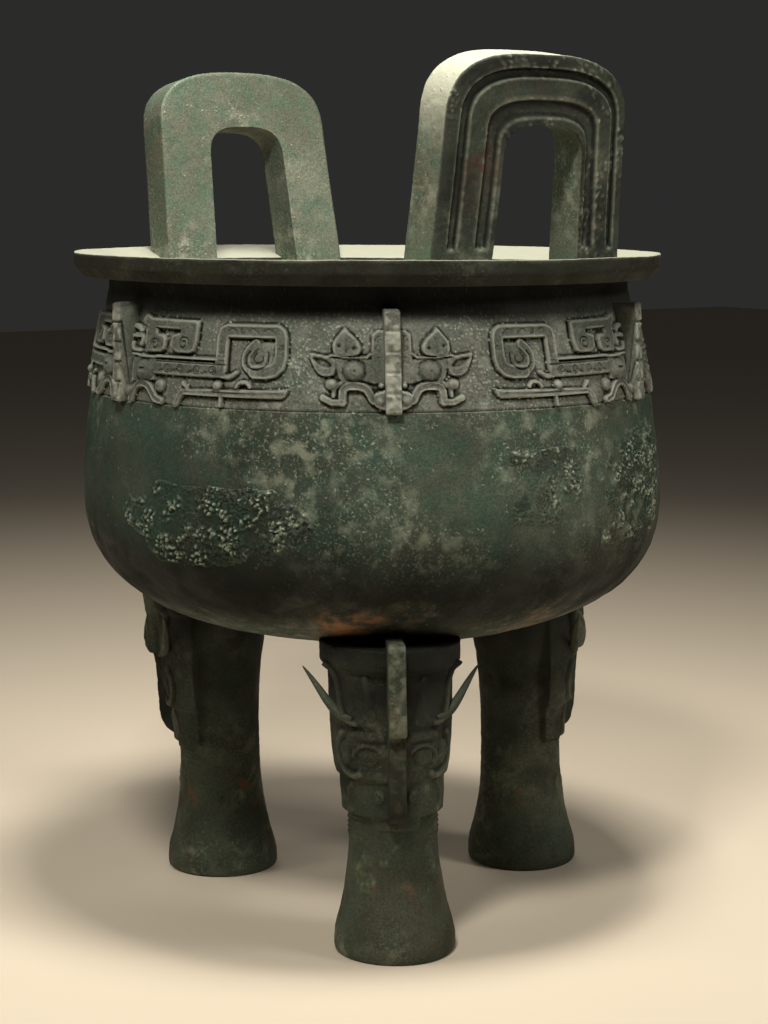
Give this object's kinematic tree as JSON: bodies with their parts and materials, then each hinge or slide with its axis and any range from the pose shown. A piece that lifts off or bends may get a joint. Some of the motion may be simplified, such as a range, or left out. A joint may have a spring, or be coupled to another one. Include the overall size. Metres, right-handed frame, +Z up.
{
  "type": "bronze ding vessel",
  "caption": "Cast bronze cauldron: round open bowl with a wide rim, two upright looped handles and column legs with raised beast masks.",
  "frame": {"origin": "on the ground under the middle of the vessel", "axes": "+Z up, the two handles on +X and -X, one leg on +Y"},
  "size_m": [0.6148, 0.6162, 0.8873],
  "materials": {
    "patinated_bronze": "matt grey-green patina with dark soot below, crust patches and worn edges"
  },
  "bodies": {
    "root": {"ding_vessel": "patinated_bronze"}
  },
  "joints": []
}
